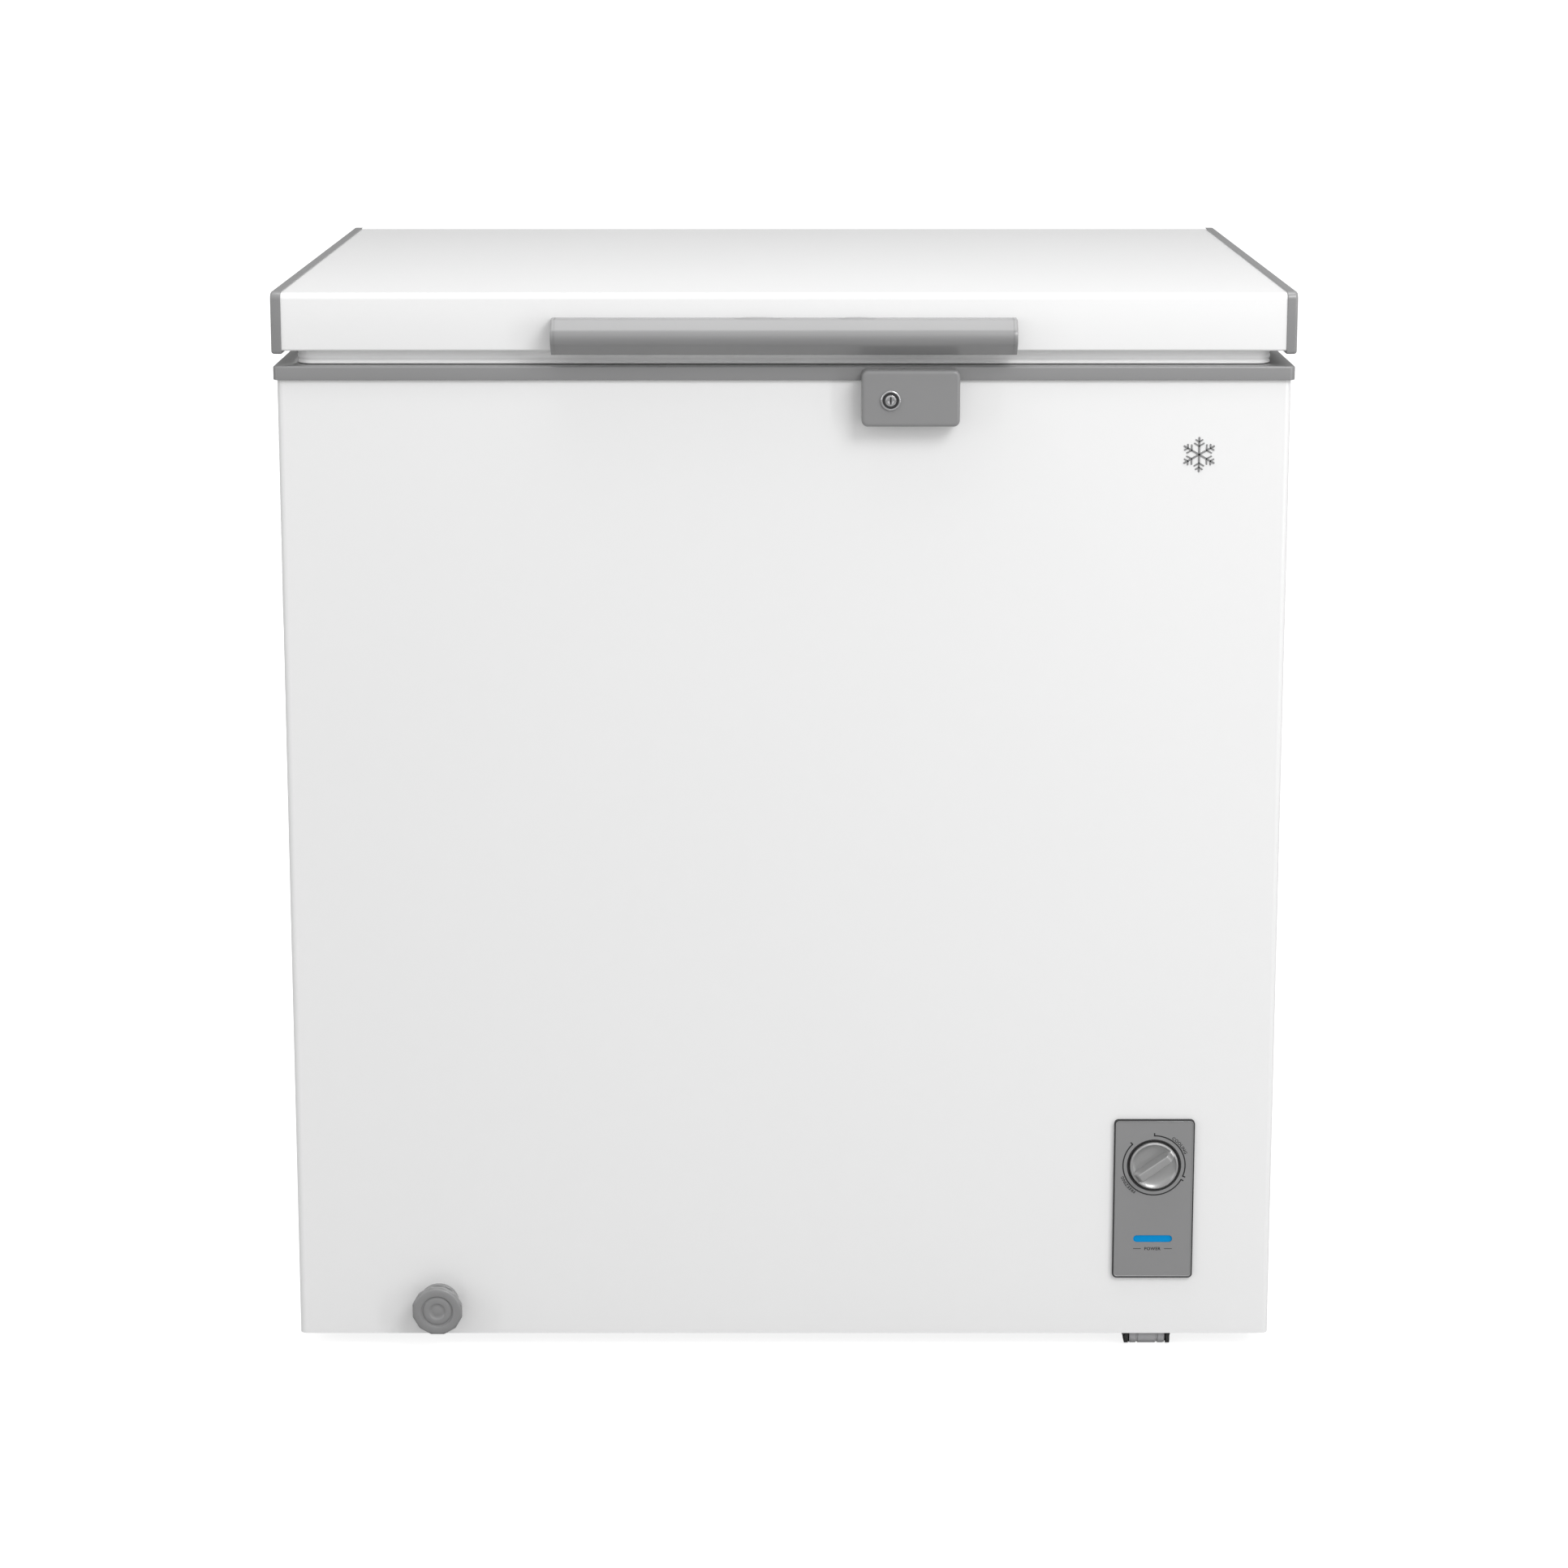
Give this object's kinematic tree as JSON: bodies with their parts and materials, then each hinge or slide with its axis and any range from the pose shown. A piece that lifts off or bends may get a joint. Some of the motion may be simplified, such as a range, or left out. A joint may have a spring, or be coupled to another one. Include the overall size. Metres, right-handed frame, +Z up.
{
  "type": "chest freezer",
  "caption": "White upright-proportioned chest freezer with a hinged lid, grey bar handle, key lock, temperature dial, front drain and sliding wire basket.",
  "frame": {"origin": "on the floor, under the centre of the overall bounding box", "axes": "+Z up; the front, with the handle and lock, faces -Y; +X is the user's right, the machine bay's end"},
  "size_m": [0.78, 0.568, 0.85],
  "materials": {
    "white_paint": "smooth semi-gloss enamel",
    "galvanised_steel": "zinc-coated sheet",
    "foam": "closed-cell polyurethane foam",
    "embossed_aluminium": "stucco-embossed, white coated",
    "grey_plastic": "moulded, lightly satin",
    "white_plastic": "vacuum-formed",
    "gasket_grey": "soft magnetic seal",
    "black_plastic": "moulded",
    "black_rubber": "moulded",
    "blue_lens": "clear tinted",
    "lamp_glass": "clear",
    "chrome": "polished",
    "zinc_steel": "bright zinc",
    "black_enamel": "gloss",
    "motor_iron": "machined and laminated",
    "copper": "drawn tube",
    "tube_aluminium": "drawn tube",
    "tube_steel": "coated steel tube",
    "nylon_grey": "moulded roller",
    "white_wire": "plastic-coated wire",
    "clear_hose": "moulded hose"
  },
  "bodies": {
    "cabinet": {"base_pan": "galvanised_steel", "bay_bulkhead": "galvanised_steel", "cabinet_screws": "zinc_steel", "capillary_tube": "copper", "caster_axles": "zinc_steel", "caster_brackets": "black_enamel", "compressor_bolts": "zinc_steel", "compressor_grommets": "black_rubber", "compressor_motor": "motor_iron", "compressor_mount_plate": "black_enamel", "compressor_shell": "black_enamel", "condenser_coil": "tube_steel", "control_panel": "grey_plastic", "cord_gland": "black_rubber", "discharge_tube": "copper", "drain_escutcheon": "grey_plastic", "drain_pipe": "clear_hose", "evaporator_coil": "tube_aluminium", "filter_drier": "copper", "foot_pads": "black_plastic", "hinge_bases": "zinc_steel", "hinge_pins": "zinc_steel", "hinge_springs": "zinc_steel", "inner_liner": "embossed_aluminium", "insulation_foam": "foam", "lock_barrel": "chrome", "lock_housing": "grey_plastic", "outer_wrap": "white_paint", "power_lamp": "lamp_glass", "power_lens": "blue_lens", "rear_bay_cover": "black_plastic", "rear_panel": "white_paint", "side_vent_grille": "grey_plastic", "suction_tube": "copper", "terminal_cover": "black_plastic", "thermostat_body": "white_plastic", "top_trim": "grey_plastic"},
    "lid": {"lid_sheet": "white_paint", "lid_liner": "white_plastic", "lid_foam": "foam", "lid_gasket": "gasket_grey", "lid_end_cap_left": "grey_plastic", "lid_end_cap_right": "grey_plastic", "handle": "grey_plastic", "handle_screws": "zinc_steel", "lock_strike": "zinc_steel", "hinge_leaves": "zinc_steel", "hinge_leaf_screws": "zinc_steel"},
    "basket": {"basket_frame": "white_wire", "basket_wires": "white_wire"},
    "dial": {"temperature_dial": "grey_plastic", "thermostat_spindle": "zinc_steel"},
    "lock": {"lock_core": "chrome", "lock_cam": "zinc_steel"},
    "spout": {"drain_spout": "grey_plastic"},
    "spout_cap": {"drain_cap": "grey_plastic"},
    "stopper": {"drain_stopper": "black_rubber"},
    "front_wheel": {"front_caster_wheel": "nylon_grey"},
    "rear_wheel": {"rear_caster_wheel": "nylon_grey"}
  },
  "joints": [
    {"name": "lid_hinge", "type": "hinge", "parent": "cabinet", "child": "lid", "pos_m": [0, 0.276, 0.7988], "axis": [-1, 0, 0], "range_deg": [0, 85], "stiffness_Nm_per_rad": 4, "springref_deg": 100.27, "deforming": ["hinge_springs"]},
    {"name": "basket_slide", "type": "slide", "parent": "cabinet", "child": "basket", "axis": [1, 0, 0], "range_m": [0, 0.395]},
    {"name": "dial_turn", "type": "hinge", "parent": "cabinet", "child": "dial", "pos_m": [0.2933, -0.2579, 0.1543], "axis": [0, -1, 0], "range_deg": [-261, 54]},
    {"name": "lock_turn", "type": "hinge", "parent": "cabinet", "child": "lock", "pos_m": [0.0809, -0.273, 0.7688], "axis": [0, -1, 0], "range_deg": [0, 90]},
    {"name": "drain_pull", "type": "slide", "parent": "cabinet", "child": "spout", "axis": [0, -1, 0], "range_m": [0, 0.02]},
    {"name": "drain_cap_turn", "type": "hinge", "parent": "spout", "child": "spout_cap", "pos_m": [-0.2754, -0.267, 0.0385], "axis": [0, -1, 0], "range_deg": [0, 180]},
    {"name": "stopper_lift", "type": "slide", "parent": "cabinet", "child": "stopper", "axis": [0, 0, 1], "range_m": [0, 0.025]},
    {"name": "front_caster_spin", "type": "hinge", "parent": "cabinet", "child": "front_wheel", "pos_m": [0.2909, -0.2425, 0.009], "axis": [1, 0, 0], "continuous": true},
    {"name": "rear_caster_spin", "type": "hinge", "parent": "cabinet", "child": "rear_wheel", "pos_m": [0.2909, 0.2555, 0.009], "axis": [1, 0, 0], "continuous": true}
  ]
}
